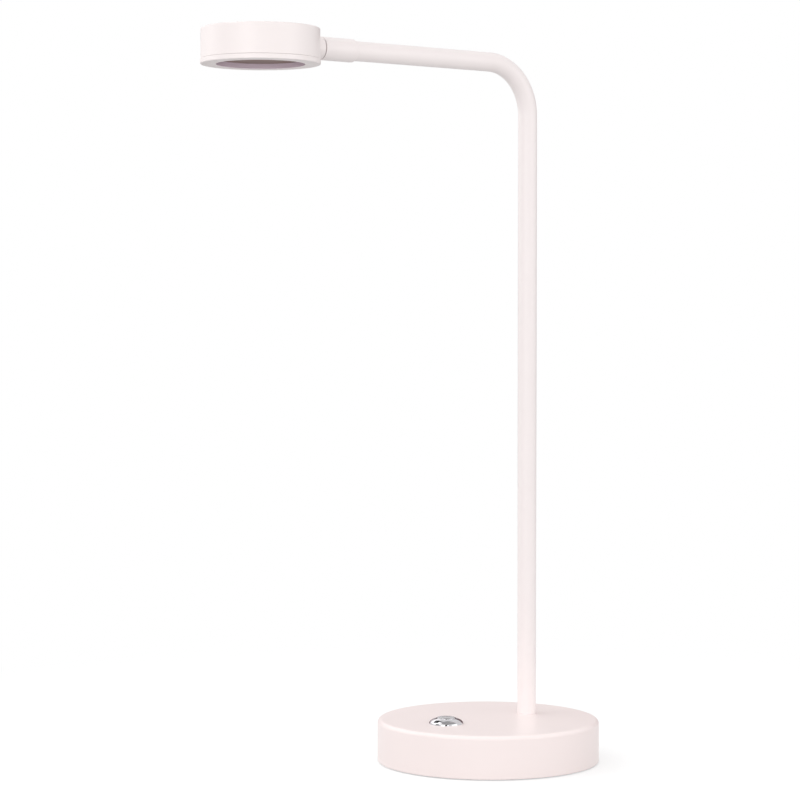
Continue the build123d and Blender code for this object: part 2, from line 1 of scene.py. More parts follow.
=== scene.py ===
# %% [markdown]
# A table lamp
#
# This lesson dresses a desk lamp that was first drawn as exact solids: a round weighted base with a push
# button, one bent tube as stem and arm, and a flat drum that turns on the arm's end. The solids come in as a
# fixed frame. Every piece that shows is modelled again on top of them, with finer curves and softer edges
# than a drawing needs, and every surface gets a finish made of nodes.

# %% Load the frame
import json
import math

import bmesh
import bpy
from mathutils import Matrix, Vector


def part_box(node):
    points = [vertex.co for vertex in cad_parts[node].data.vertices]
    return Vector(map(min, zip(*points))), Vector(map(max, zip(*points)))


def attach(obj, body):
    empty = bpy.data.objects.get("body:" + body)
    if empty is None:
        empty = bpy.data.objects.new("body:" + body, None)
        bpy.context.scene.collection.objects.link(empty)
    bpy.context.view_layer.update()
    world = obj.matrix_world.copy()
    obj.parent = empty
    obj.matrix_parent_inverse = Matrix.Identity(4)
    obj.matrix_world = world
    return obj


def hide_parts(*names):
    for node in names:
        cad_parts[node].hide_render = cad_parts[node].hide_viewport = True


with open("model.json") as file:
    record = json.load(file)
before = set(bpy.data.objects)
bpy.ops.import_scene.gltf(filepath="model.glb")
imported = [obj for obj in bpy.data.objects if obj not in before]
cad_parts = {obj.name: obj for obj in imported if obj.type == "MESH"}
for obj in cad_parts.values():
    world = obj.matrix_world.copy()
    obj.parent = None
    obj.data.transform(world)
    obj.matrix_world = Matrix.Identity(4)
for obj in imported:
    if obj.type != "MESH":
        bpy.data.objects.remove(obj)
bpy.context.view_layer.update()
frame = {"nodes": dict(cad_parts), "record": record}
nodes = frame["nodes"]
print("nodes in the frame:", len(nodes))

# %% [markdown]
# The camera comes first, because it tells which surfaces matter most. Its place was worked out from the
# lamp's outline: a long lens about 1.6 metres away, a little above half the lamp's height, so that it looks
# down on the base and up under the drum. It is level apart from a slight tilt down.

# %% Camera at the photograph's angle
camera_place = (-0.99804, -1.20514, 0.28165)
camera_heading = -37.586
camera_tilt = 1.943
camera_lens = 111.6
film_width = 36.0

bpy.ops.object.camera_add(
    location=camera_place,
    rotation=(math.radians(90 - camera_tilt), 0, math.radians(camera_heading)),
)
camera = bpy.context.object
camera.data.lens = camera_lens
camera.data.sensor_width = film_width
bpy.context.scene.camera = camera
print("camera to base:", round(Vector(camera_place).length, 3), "m")

# %% [markdown]
# Nearly every part of this lamp is turned or drawn from round stock, so the modelling works the same way: a
# round blank is added, its rims are rounded with a bevel, and its hollows are inset and pushed in. A few
# helpers keep that readable. Operators act on whatever is selected, so each helper clears the selection
# first and then picks edges or faces in code, by where they lie. A test of place allows for a hair of play,
# and a face counts as flat across an axis where its normal runs nearly along that axis.

# %% Round blanks
def blank(name, radius, start, end, sides):
    """Adds a round blank between two points of its axis, with its place applied to its mesh."""
    start = Vector(start)
    axis = Vector(end) - start
    bpy.ops.object.select_all(action="DESELECT")
    bpy.ops.mesh.primitive_cylinder_add(
        vertices=sides,
        radius=radius,
        depth=axis.length,
        location=start + axis / 2,
        rotation=axis.to_track_quat("Z", "Y").to_euler(),
    )
    bpy.ops.object.transform_apply(location=True, rotation=True, scale=True)
    piece = bpy.context.object
    piece.name = name
    piece.data.name = name
    return piece


def open_edit(piece):
    """Makes a piece the only selected one and opens it in edit mode."""
    bpy.ops.object.select_all(action="DESELECT")
    piece.select_set(True)
    bpy.context.view_layer.objects.active = piece
    bpy.ops.object.mode_set(mode="EDIT")


# %% Picking edges and faces
hair = 0.00002
flat_on = 0.99


def pick_edges(test):
    """Selects the edges whose two ends both pass the test."""
    bpy.ops.mesh.select_mode(type="EDGE")
    bpy.ops.mesh.select_all(action="DESELECT")
    data = bpy.context.object.data
    for edge in bmesh.from_edit_mesh(data).edges:
        edge.select_set(all(test(corner.co) for corner in edge.verts))
    bmesh.update_edit_mesh(data)


def pick_faces(test):
    """Selects the faces whose centre and normal pass the test."""
    bpy.ops.mesh.select_mode(type="FACE")
    bpy.ops.mesh.select_all(action="DESELECT")
    data = bpy.context.object.data
    for face in bmesh.from_edit_mesh(data).faces:
        face.select_set(test(face.calc_center_median(), face.normal))
    bmesh.update_edit_mesh(data)


def push(offset):
    """Extrudes the picked faces and moves them by an offset."""
    bpy.ops.mesh.extrude_region_move(TRANSFORM_OT_translate={"value": offset})


# %% Cuts, welds and shading
def cut(piece, tool, operation="DIFFERENCE"):
    """Cuts a tool from a piece, or welds it on, and removes the tool."""
    bpy.ops.object.select_all(action="DESELECT")
    bpy.context.view_layer.objects.active = piece
    modifier = piece.modifiers.new("cut", "BOOLEAN")
    modifier.operation = operation
    modifier.object = tool
    bpy.ops.object.modifier_apply(modifier=modifier.name)
    bpy.data.objects.remove(tool, do_unlink=True)


def merge_close(piece):
    """Merges the points that cuts leave much closer than a hair."""
    open_edit(piece)
    bpy.ops.mesh.select_all(action="SELECT")
    bpy.ops.mesh.remove_doubles(threshold=hair / 10)
    bpy.ops.object.mode_set(mode="OBJECT")


def soften(piece, crease=35.0):
    """Leaves edit mode, shades the piece smooth up to a crease angle and keeps its flats flat."""
    bpy.ops.object.mode_set(mode="OBJECT")
    bpy.ops.object.select_all(action="DESELECT")
    piece.select_set(True)
    bpy.context.view_layer.objects.active = piece
    bpy.ops.object.shade_smooth_by_angle(angle=math.radians(crease))
    modifier = piece.modifiers.new("flats", "WEIGHTED_NORMAL")
    modifier.keep_sharp = True
    bpy.ops.object.modifier_apply(modifier=modifier.name)
    print(piece.name, "has", len(piece.data.polygons), "faces")


# %% [markdown]
# The base is a deep-drawn cup with its mouth down. Its top edge is rolled over a small radius, which catches
# the light as one soft line. It could be spun from a drawn profile, but a cylinder with a bevel gives that
# roll from a single number, and an inset and a push give the hollow. The holes for the stem, the button and
# the cord are punched through it afterwards. Four posts, which take the screws of the bottom plate, are
# welded in last.

# %% Base cup
cup_low, cup_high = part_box("base_shell")
cup_radius = cup_high.y
cup_roll = 0.0026
cup_lip = 0.0004
cup_wall = 0.002
cup_top = 0.0025
cup_sides = 192

base_cup = blank("base_cup", cup_radius, (0, 0, cup_low.z), (0, 0, cup_high.z), cup_sides)
open_edit(base_cup)
pick_edges(lambda p: p.z > cup_high.z - hair)
bpy.ops.mesh.bevel(offset=cup_roll, segments=10, affect="EDGES")
pick_edges(lambda p: p.z < cup_low.z + hair)
bpy.ops.mesh.bevel(offset=cup_lip, segments=3, affect="EDGES")
pick_faces(lambda p, n: n.z < -flat_on)
bpy.ops.mesh.inset(thickness=cup_wall - cup_lip)
push((0, 0, cup_high.z - cup_top - cup_low.z))
bpy.ops.object.mode_set(mode="OBJECT")
print("cup without its holes has", len(base_cup.data.polygons), "faces")

# %% Holes in the cup
tube_low, tube_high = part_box("arm_tube")
tube_radius = tube_high.y
stem_x = tube_high.x - tube_radius
insert_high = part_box("stem_insert")[1]
ring_low, ring_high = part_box("button_bezel")
button_x = (ring_low.x + ring_high.x) / 2
barrel_radius = 0.009
bush_low, bush_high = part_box("cord_grommet")
bush_z = (bush_low.z + bush_high.z) / 2
bush_neck = 0.0045
hole_play = 0.0002
hole_sides = 64
punch_from = 0.02
punch_to = 0.03
drill_from = 0.06
drill_to = 0.08

stem_hole = insert_high.x - stem_x + hole_play
button_hole = barrel_radius + hole_play
cord_hole = bush_neck + hole_play
for name, radius, start, end in (
    ("stem_hole", stem_hole, (stem_x, 0, punch_from), (stem_x, 0, punch_to)),
    ("button_hole", button_hole, (button_x, 0, punch_from), (button_x, 0, punch_to)),
    ("cord_hole", cord_hole, (drill_from, 0, bush_z), (drill_to, 0, bush_z)),
):
    cut(base_cup, blank(name, radius, start, end, hole_sides))
    print(name, "has a radius of", round(radius, 5))

# %% Screw posts in the cup
screw_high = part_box("cover_screws")[1]
screw_head = 0.0028
cup_post_radius = 0.004
cup_post_hole = 0.00155
cover_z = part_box("bottom_cover")[1].z
cup_ceiling = cup_high.z - cup_top
post_sides = 48
pin_sides = 32

for side_x in (-1, 1):
    for side_y in (-1, 1):
        post_x = side_x * (screw_high.x - screw_head)
        post_y = side_y * (screw_high.y - screw_head)
        post_foot = (post_x, post_y, cover_z)
        post_end = (post_x, post_y, cup_ceiling + cup_top / 2)
        cut(base_cup, blank("cup_post", cup_post_radius, post_foot, post_end, post_sides), "UNION")
        hole_start = (post_x, post_y, cup_low.z)
        hole_end = (post_x, post_y, cup_ceiling)
        cut(base_cup, blank("cup_post_hole", cup_post_hole, hole_start, hole_end, pin_sides))
merge_close(base_cup)
soften(base_cup)

# %% [markdown]
# Stem and arm are one drawn tube, bent once. A curve with a round bevel could give it, but a spin makes the
# bend a true part of a circle. By hand this is a ring of vertices that is pulled up along the stem, spun a
# quarter turn round the bend's centre and pulled on along the arm. A wall is added inside afterwards, so the
# tube is hollow like the real one.

# %% Bent tube
arm_z = tube_high.z - tube_radius
bend_radius = 0.032
tube_wall = 0.001
tube_sides = 96
bend_steps = 40

bpy.ops.object.select_all(action="DESELECT")
bpy.ops.mesh.primitive_circle_add(vertices=tube_sides, radius=tube_radius, location=(stem_x, 0, tube_low.z))
bpy.ops.object.transform_apply(location=True)
bent_tube = bpy.context.object
bent_tube.name = "bent_tube"
open_edit(bent_tube)
bpy.ops.mesh.select_mode(type="EDGE")
bpy.ops.mesh.select_all(action="SELECT")
bpy.ops.mesh.extrude_region_move(
    TRANSFORM_OT_translate={"value": (0, 0, arm_z - bend_radius - tube_low.z)}
)
bpy.ops.mesh.spin(
    steps=bend_steps,
    angle=math.radians(90),
    center=(stem_x - bend_radius, 0, arm_z - bend_radius),
    axis=(0, 1, 0),
)
bpy.ops.mesh.extrude_region_move(
    TRANSFORM_OT_translate={"value": (tube_low.x - stem_x + bend_radius, 0, 0)}
)
bpy.ops.mesh.select_all(action="SELECT")
bpy.ops.mesh.remove_doubles(threshold=hair / 2)
bpy.ops.mesh.normals_make_consistent(inside=False)
bpy.ops.object.mode_set(mode="OBJECT")
wall = bent_tube.modifiers.new("wall", "SOLIDIFY")
wall.thickness = tube_wall
wall.offset = -1.0
bpy.ops.object.modifier_apply(modifier=wall.name)
soften(bent_tube)
corners = list(bent_tube.bound_box)
print("tube box:", [round(c, 4) for c in corners[0]], [round(c, 4) for c in corners[6]])

# %% [markdown]
# The sleeve is the wider piece on the arm's end. It hides the bearing on which the drum turns, so it is
# hollow from both ends: a socket for the tube on one side and a bearing bore on the other. A pin of the drum
# runs in a groove in its face, and the lug that is left in the groove stops the drum after most of a turn.
# All of this lies round one axis, so one cylinder is inset and pushed in from each end, and the two ends of
# the bore are bridged. That leaves cleaner edges than cuts with other shapes would.

# %% Sleeve on the arm's end
sleeve_low, sleeve_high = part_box("ferrule")
sleeve_radius = sleeve_high.y
sleeve_round = 0.0008
seam_break = 0.0002
socket_depth = 0.009
press_play = 0.00005
socket_radius = tube_radius + press_play
chamber_radius = 0.0055
web = 0.004
bore_radius = 0.00305
round_sides = 96

sleeve_start = (sleeve_low.x, 0, arm_z)
sleeve_end = (sleeve_high.x, 0, arm_z)
arm_sleeve = blank("arm_sleeve", sleeve_radius, sleeve_start, sleeve_end, round_sides)
open_edit(arm_sleeve)
pick_edges(lambda p: p.x > sleeve_high.x - hair)
bpy.ops.mesh.bevel(offset=sleeve_round, segments=5, affect="EDGES")
pick_edges(lambda p: p.x < sleeve_low.x + hair)
bpy.ops.mesh.bevel(offset=seam_break, segments=2, affect="EDGES")
pick_faces(lambda p, n: n.x > flat_on)
bpy.ops.mesh.inset(thickness=sleeve_radius - sleeve_round - socket_radius)
push((-socket_depth, 0, 0))
bpy.ops.mesh.inset(thickness=socket_radius - chamber_radius)
push((sleeve_low.x + web - sleeve_high.x + socket_depth, 0, 0))
bpy.ops.mesh.inset(thickness=chamber_radius - bore_radius)
bpy.ops.object.mode_set(mode="OBJECT")
print("sleeve with its socket has", len(arm_sleeve.data.polygons), "faces")

# %% Groove and bore of the sleeve
groove_outer = 0.0064
groove_inner = 0.0046
groove_depth = 0.0021
lug_half_angle = math.radians(11)
pin_low, pin_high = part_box("stop_pin")
pin_z = (pin_low.z + pin_high.z) / 2
lug_side = math.copysign(1, arm_z - pin_z)
near_axis = 0.0001


def off_arm(p):
    """Distance of a point from the arm's axis."""
    return math.hypot(p.y, p.z - arm_z)


def in_groove(p):
    """Whether a point lies in the groove, which leaves a lug across from the pin."""
    from_lug = math.atan2(abs(p.y), lug_side * (p.z - arm_z))
    return groove_inner < off_arm(p) < groove_outer and from_lug > lug_half_angle


open_edit(arm_sleeve)
pick_faces(lambda p, n: n.x < -flat_on)
bpy.ops.mesh.inset(thickness=sleeve_radius - seam_break - groove_outer)
bpy.ops.mesh.inset(thickness=groove_outer - groove_inner)
bpy.ops.mesh.inset(thickness=groove_inner - bore_radius)
pick_faces(lambda p, n: n.x < -flat_on and in_groove(p))
push((groove_depth, 0, 0))
pick_faces(lambda p, n: abs(n.x) > flat_on and off_arm(p) < near_axis)
bpy.ops.mesh.delete(type="FACE")
pick_edges(lambda p: abs(off_arm(p) - bore_radius) < hair)
bpy.ops.mesh.bridge_edge_loops()
soften(arm_sleeve)

# %% [markdown]
# The drum is the light's housing: a shallow cup with its mouth down, like the base but smaller, with a round
# boss on one side that meets the sleeve. The boss is welded on as a second blank, because the two cylinders
# cross at a right angle. Inside, three posts carry the light source, and a flat pad takes the bearing's nut.

# %% Drum of the head
drum_low, drum_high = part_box("head_housing")
drum_radius = drum_high.y
drum_x = drum_low.x + drum_radius
drum_roll = 0.0008
drum_wall = 0.002
drum_top = 0.0025
drum_sides = 160
ceiling_z = drum_high.z - drum_top
seat_depth = 0.0025
seat_x = drum_x + drum_radius - drum_wall - seat_depth
pad_radius = 0.0057
mouth_reach = 0.01

drum_start = (drum_x, 0, drum_low.z)
drum_end = (drum_x, 0, drum_high.z)
lamp_drum = blank("lamp_drum", drum_radius, drum_start, drum_end, drum_sides)
open_edit(lamp_drum)
pick_edges(lambda p: p.z > drum_high.z - hair)
bpy.ops.mesh.bevel(offset=drum_roll, segments=6, affect="EDGES")
bpy.ops.object.mode_set(mode="OBJECT")

boss = blank("boss", sleeve_radius, (seat_x, 0, arm_z), (drum_high.x, 0, arm_z), round_sides)
open_edit(boss)
pick_edges(lambda p: p.x > drum_high.x - hair)
bpy.ops.mesh.bevel(offset=seam_break, segments=2, affect="EDGES")
bpy.ops.object.mode_set(mode="OBJECT")
cut(lamp_drum, boss, "UNION")

cavity_radius = drum_radius - drum_wall
cavity_start = (drum_x, 0, drum_low.z - mouth_reach)
cavity_end = (drum_x, 0, ceiling_z)
cut(lamp_drum, blank("cavity", cavity_radius, cavity_start, cavity_end, drum_sides))
pad_end = drum_x + drum_radius - drum_wall / 2
nut_pad = blank("nut_pad", pad_radius, (seat_x, 0, arm_z), (pad_end, 0, arm_z), hole_sides)
cut(lamp_drum, nut_pad, "UNION")
print("drum with its boss has", len(lamp_drum.data.polygons), "faces")

# %% Posts in the drum
post_radius = 0.003
post_circle = 0.020
post_turns = (60, 180, 300)
post_hole = 0.0013
post_hole_depth = 0.00505
plate_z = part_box("heat_plate")[1].z
reach = 0.001

for turn in post_turns:
    angle = math.radians(turn)
    post_x = drum_x + post_circle * math.cos(angle)
    post_y = post_circle * math.sin(angle)
    post_foot = (post_x, post_y, plate_z)
    post_end = (post_x, post_y, ceiling_z + reach)
    cut(lamp_drum, blank("post", post_radius, post_foot, post_end, post_sides), "UNION")
    hole_start = (post_x, post_y, plate_z - reach)
    hole_end = (post_x, post_y, plate_z + post_hole_depth)
    cut(lamp_drum, blank("hole", post_hole, hole_start, hole_end, pin_sides))
print("posts in the drum:", len(post_turns))

# %% Bearing holes in the boss
flange_recess = 0.0015
flange_radius = 0.0039
pin_radius = (pin_high.y - pin_low.y) / 2 + press_play
bore_run = 0.005
bore_x = seat_x - bore_run
recess_x = drum_high.x - flange_recess
past_face = drum_high.x + reach

cut(lamp_drum, blank("bore", bore_radius, (bore_x, 0, arm_z), (past_face, 0, arm_z), hole_sides))
cut(lamp_drum, blank("recess", flange_radius, (recess_x, 0, arm_z), (past_face, 0, arm_z), hole_sides))
cut(lamp_drum, blank("pin_hole", pin_radius, (pin_low.x, 0, pin_z), (past_face, 0, pin_z), pin_sides))
merge_close(lamp_drum)
soften(lamp_drum)

# %% [markdown]
# A ring closes the drum from below. It stands a hair proud of the drum, with a fine groove between the two
# that reads as a thin line right round the head. Its inside is a step: a shelf on which the light's cover
# plate lies, and a spigot that goes up into the drum. Like the sleeve, it comes from one disc by insets and
# pushes, so all its rims stay round one axis.

# %% Ring under the drum
ring_box_low, ring_box_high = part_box("head_bezel")
trim_radius = ring_box_high.y
trim_height = 0.003
trim_round = 0.0006
opening_round = 0.0003
shelf_break = opening_round / 2
shelf_z = ring_box_low.z + trim_height
spigot_radius = cavity_radius - press_play
spigot_wall = 0.0016
trim_width = 0.0092
opening_radius = trim_radius - trim_width


def off_drum(p):
    """Distance of a point from the drum's upright axis."""
    return math.hypot(p.x - drum_x, p.y)


trim_start = (drum_x, 0, ring_box_low.z)
trim_end = (drum_x, 0, shelf_z)
trim_ring = blank("trim_ring", trim_radius, trim_start, trim_end, drum_sides)
open_edit(trim_ring)
pick_edges(lambda p: p.z < ring_box_low.z + hair)
bpy.ops.mesh.bevel(offset=trim_round, segments=4, affect="EDGES")
pick_edges(lambda p: p.z > shelf_z - hair)
bpy.ops.mesh.bevel(offset=shelf_break, segments=2, affect="EDGES")
pick_faces(lambda p, n: n.z > flat_on)
bpy.ops.mesh.inset(thickness=trim_radius - shelf_break - spigot_radius)
push((0, 0, ring_box_high.z - shelf_z))
bpy.ops.mesh.inset(thickness=spigot_wall)
push((0, 0, shelf_z - ring_box_high.z))
bpy.ops.mesh.inset(thickness=spigot_radius - spigot_wall - opening_radius)
pick_faces(lambda p, n: n.z < -flat_on)
bpy.ops.mesh.inset(thickness=trim_radius - trim_round - opening_radius)
pick_faces(lambda p, n: abs(n.z) > flat_on and off_drum(p) < near_axis)
bpy.ops.mesh.delete(type="FACE")
pick_edges(lambda p: abs(off_drum(p) - opening_radius) < hair)
bpy.ops.mesh.bridge_edge_loops()
pick_edges(lambda p: p.z < ring_box_low.z + hair and abs(off_drum(p) - opening_radius) < hair)
bpy.ops.mesh.bevel(offset=opening_round, segments=3, affect="EDGES")
soften(trim_ring)

# %% [markdown]
# The cover plate lies on the ring's shelf and spreads the light. It is a disc with broken edges and a very
# shallow hollow below, so that a glancing reflection slides over it instead of lying flat. A few insets make
# the hollow, each of them raised a little less than the last.

# %% Cover plate of the light
plate_low, plate_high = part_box("diffuser")
plate_radius = plate_high.y
plate_break = 0.0003
hollow_depth = 0.00015
hollow_steps = (0.35, 0.3, 0.2, 0.15)
hollow_ring = 0.22 * opening_radius

plate_start = (drum_x, 0, plate_low.z)
plate_end = (drum_x, 0, plate_high.z)
cover_plate = blank("cover_plate", plate_radius, plate_start, plate_end, drum_sides)
open_edit(cover_plate)
pick_edges(lambda p: abs(off_drum(p) - plate_radius) < hair and abs(p.z - plate_low.z) < hair)
bpy.ops.mesh.bevel(offset=plate_break, segments=2, affect="EDGES")
pick_edges(lambda p: abs(off_drum(p) - plate_radius) < hair and abs(p.z - plate_high.z) < hair)
bpy.ops.mesh.bevel(offset=plate_break, segments=2, affect="EDGES")
pick_faces(lambda p, n: n.z < -flat_on)
bpy.ops.mesh.inset(thickness=plate_radius - plate_break - opening_radius)
for share in hollow_steps:
    bpy.ops.mesh.inset(thickness=hollow_ring, depth=-hollow_depth * share)
soften(cover_plate)

# %% [markdown]
# The push button is the one bright piece: a low domed ring that sits on the base, and a cap that slides in
# it. The ring starts as its barrel. The barrel's top is widened to the ring's foot and then inset again and
# again, each time a little higher, along a part of an ellipse. A squashed sphere could be cut to this shape,
# but the insets give foot, dome and rim as exact rings. The cap has a collar that is caught under the ring's
# lip.

# %% Button ring
ring_radius = ring_high.y
dome_steps = 14
cap_radius = 0.006
cap_play = 0.00015
well_radius = cap_radius + cap_play

foot_z = cup_high.z
barrel_start = (button_x, 0, ring_low.z)
barrel_end = (button_x, 0, foot_z)
button_ring = blank("button_ring", barrel_radius, barrel_start, barrel_end, round_sides)
open_edit(button_ring)
pick_faces(lambda p, n: n.z > flat_on)
bpy.ops.mesh.extrude_region_move()
widen = ring_radius / barrel_radius
bpy.ops.transform.resize(value=(widen, widen, 1), center_override=(button_x, 0, foot_z))
last_angle = math.acos(well_radius / ring_radius)
dome_height = (ring_high.z - foot_z) / math.sin(last_angle)
for step in range(dome_steps):
    angle = last_angle * step / dome_steps
    next_angle = last_angle * (step + 1) / dome_steps
    inward = ring_radius * (math.cos(angle) - math.cos(next_angle))
    upward = dome_height * (math.sin(next_angle) - math.sin(angle))
    bpy.ops.mesh.inset(thickness=inward, depth=upward)
bpy.ops.object.mode_set(mode="OBJECT")
print("dome of the button ring has", dome_steps, "steps")

# %% Well and barrel of the button ring
lip = 0.002
barrel_wall = 0.001
barrel_bore = barrel_radius - barrel_wall
well_round = 0.0002
dome_crease = 60.0


def off_button(p):
    """Distance of a point from the button's upright axis."""
    return math.hypot(p.x - button_x, p.y)


open_edit(button_ring)
pick_faces(lambda p, n: n.z < -flat_on and p.z < ring_low.z + hair)
bpy.ops.mesh.inset(thickness=barrel_wall)
push((0, 0, ring_high.z - lip - ring_low.z))
bpy.ops.mesh.inset(thickness=barrel_bore - well_radius)
pick_faces(lambda p, n: abs(n.z) > flat_on and off_button(p) < near_axis)
bpy.ops.mesh.delete(type="FACE")
pick_edges(lambda p: abs(off_button(p) - well_radius) < 2 * hair)
bpy.ops.mesh.bridge_edge_loops()
pick_edges(lambda p: p.z > ring_high.z - hair and abs(off_button(p) - well_radius) < 2 * hair)
bpy.ops.mesh.bevel(offset=well_round, segments=2, affect="EDGES")
soften(button_ring, dome_crease)

# %% Button cap
cap_low, cap_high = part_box("button_cap")
collar_height = 0.0012
collar_radius = cap_high.y
cap_round = 0.0006
dish_rim = 0.0009
dish_depth = 0.00005
dead_flat = 0.9999

collar_z = cap_low.z + collar_height
collar_start = (button_x, 0, cap_low.z)
collar_end = (button_x, 0, collar_z)
push_cap = blank("push_cap", collar_radius, collar_start, collar_end, round_sides)
open_edit(push_cap)
pick_faces(lambda p, n: n.z > flat_on)
bpy.ops.mesh.inset(thickness=collar_radius - cap_radius)
push((0, 0, cap_high.z - collar_z))
pick_edges(lambda p: p.z > cap_high.z - hair)
bpy.ops.mesh.bevel(offset=cap_round, segments=7, affect="EDGES")
pick_faces(lambda p, n: n.z > dead_flat and p.z > cap_high.z - hair / 4)
bpy.ops.mesh.inset(thickness=dish_rim)
bpy.ops.mesh.inset(thickness=dish_rim, depth=-dish_depth)
bpy.ops.mesh.inset(thickness=dish_rim * 2, depth=-dish_depth)
soften(push_cap)

# %% [markdown]
# At the back, a soft bush lines the hole for the cord. It has a lip inside the wall and a rounded lip
# outside. It is pulled out of one disc, section by section: lip, neck, lip. Three discs that are welded
# would leave seams where the real one, moulded in one go, has none.

# %% Cord bush
bush_lip = (bush_high.z - bush_low.z) / 2
bush_flange = 0.0018
bush_bore = 0.0026
bush_round = 0.0008
bore_round = 0.0004


def off_bush(p):
    """Distance of a point from the bush's axis."""
    return math.hypot(p.y, p.z - bush_z)


inner_end = bush_low.x + bush_flange
outer_start = bush_high.x - bush_flange
cord_bush = blank("cord_bush", bush_lip, (bush_low.x, 0, bush_z), (inner_end, 0, bush_z), round_sides)
open_edit(cord_bush)
pick_faces(lambda p, n: n.x > flat_on)
bpy.ops.mesh.inset(thickness=bush_lip - bush_neck)
push((outer_start - inner_end, 0, 0))
bpy.ops.mesh.extrude_region_move()
widen = bush_lip / bush_neck
bpy.ops.transform.resize(value=(1, widen, widen), center_override=(outer_start, 0, bush_z))
push((bush_flange, 0, 0))
pick_edges(lambda p: p.x > bush_high.x - hair)
bpy.ops.mesh.bevel(offset=bush_round, segments=5, affect="EDGES")
pick_faces(lambda p, n: n.x > flat_on and p.x > bush_high.x - hair)
bpy.ops.mesh.inset(thickness=bush_lip - bush_round - bush_bore)
pick_faces(lambda p, n: n.x < -flat_on and p.x < bush_low.x + hair)
bpy.ops.mesh.inset(thickness=bush_lip - bush_bore)
pick_faces(lambda p, n: abs(n.x) > flat_on and off_bush(p) < near_axis)
bpy.ops.mesh.delete(type="FACE")
pick_edges(lambda p: abs(off_bush(p) - bush_bore) < hair)
bpy.ops.mesh.bridge_edge_loops()
pick_edges(lambda p: p.x > bush_high.x - hair and abs(off_bush(p) - bush_bore) < hair)
bpy.ops.mesh.bevel(offset=bore_round, segments=3, affect="EDGES")
soften(cord_bush)

# %% [markdown]
# The lamp stands on a thin foam pad, which hides the screws of the bottom plate. It is a punched disc with a
# pressed edge, so a disc with one small bevel is all it takes.

# %% Foot pad
pad_low, pad_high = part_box("foot_pad")
pad_edge = 0.0002

foam_pad = blank("foam_pad", pad_high.y, (0, 0, pad_low.z), (0, 0, pad_high.z), drum_sides)
open_edit(foam_pad)
pick_edges(lambda p: p.z < pad_low.z + hair)
bpy.ops.mesh.bevel(offset=pad_edge, segments=3, affect="EDGES")
soften(foam_pad)

# %% [markdown]
# Finishes are written as sums and products. The class below wraps one output of a node, and each operator
# on it adds a Math node, so a line of Python reads like the formula that the nodes work out. The same could
# be built node by node, but the formula would be hard to see in it.

# %% Sockets with arithmetic
class Socket:
    """One output of a node, with the operators that the finishes use."""

    def __init__(self, tree, output):
        self.tree = tree
        self.output = output

    def combine(self, operation, first, second):
        """A Math node on two values or sockets."""
        node = self.tree.nodes.new("ShaderNodeMath")
        node.operation = operation
        feed(self.tree, node.inputs[0], first)
        feed(self.tree, node.inputs[1], second)
        return Socket(self.tree, node.outputs[0])

    def __add__(self, other):
        return self.combine("ADD", self, other)

    def __radd__(self, other):
        return self.combine("ADD", other, self)

    def __sub__(self, other):
        return self.combine("SUBTRACT", self, other)

    def __rsub__(self, other):
        return self.combine("SUBTRACT", other, self)

    def __mul__(self, other):
        return self.combine("MULTIPLY", self, other)

    def __rmul__(self, other):
        return self.combine("MULTIPLY", other, self)

    def __gt__(self, other):
        return self.combine("GREATER_THAN", self, other)


def feed(tree, target, value):
    """Links a socket to an input, or sets the input's own value."""
    if isinstance(value, Socket):
        tree.links.new(value.output, target)
    else:
        target.default_value = value


# %% [markdown]
# Any other node comes from one method, which takes the node's type, its settings and what goes into its
# sockets. A finish is a material whose Principled shader takes such formulas, with patterns that are fixed
# to the piece itself and measured in metres.

# %% Any node by one method
class Nodes:
    """A node tree, with one method that adds any node to it."""

    def __init__(self, tree):
        self.tree = tree

    def add(self, kind, settings=None, inputs=None, output=0):
        """Adds a node and gives one of its outputs."""
        node = self.tree.nodes.new(kind)
        for name, value in (settings or {}).items():
            setattr(node, name, value)
        for name, value in (inputs or {}).items():
            target = next(s for s in node.inputs if name in (s.identifier, s.name))
            feed(self.tree, target, value)
        return Socket(self.tree, node.outputs[output])

    def mix(self, share, low, high):
        """A colour between two, by a share from 0 to 1."""
        return self.add(
            "ShaderNodeMix",
            {"data_type": "RGBA"},
            {"Factor_Float": share, "A_Color": low, "B_Color": high},
            "Result",
        )


# %% Finishes
class Finish(Nodes):
    """A material with a Principled shader that formulas are fed into."""

    def __init__(self, name):
        self.material = bpy.data.materials.new(name)
        self.material.use_nodes = True
        super().__init__(self.material.node_tree)
        self.shader = self.tree.nodes["Principled BSDF"]
        print("finish:", name)

    def set(self, **values):
        """Sets the shader's inputs; Base_Color stands for Base Color."""
        for name, value in values.items():
            feed(self.tree, self.shader.inputs[name.replace("_", " ")], value)

    def place(self):
        """The point on the piece, in metres."""
        return self.add("ShaderNodeTexCoord", output="Object")

    def noise(self, scale, detail=2.0, rough=0.5):
        """A cloud of values from 0 to 1, with about that many lumps to a metre."""
        inputs = {"Vector": self.place(), "Scale": scale, "Detail": detail, "Roughness": rough}
        return self.add("ShaderNodeTexNoise", None, inputs)

    def relief(self, height, depth):
        """Tips the normal as if the height, from 0 to 1, stood that many metres proud."""
        inputs = {"Height": height, "Distance": depth, "Strength": 1.0}
        self.set(Normal=self.add("ShaderNodeBump", None, inputs))


def tone(colour, factor):
    """A colour made lighter or darker, as four numbers."""
    return (*(min(1.0, part * factor) for part in colour), 1.0)


# %% [markdown]
# The lamp is powder-coated in a warm white with a breath of pink. Such a coat flows out nearly smooth and
# keeps a faint orange-peel, a millimetre from lump to lump and a few thousandths high. Noise of three sizes
# gives it: a slow drift of the colour, the peel, and specks finer than that. Its gloss is satin, so the
# base's top still shows the stem's foot as a soft reflection. The base's coat reflects a little less than
# the arm's.

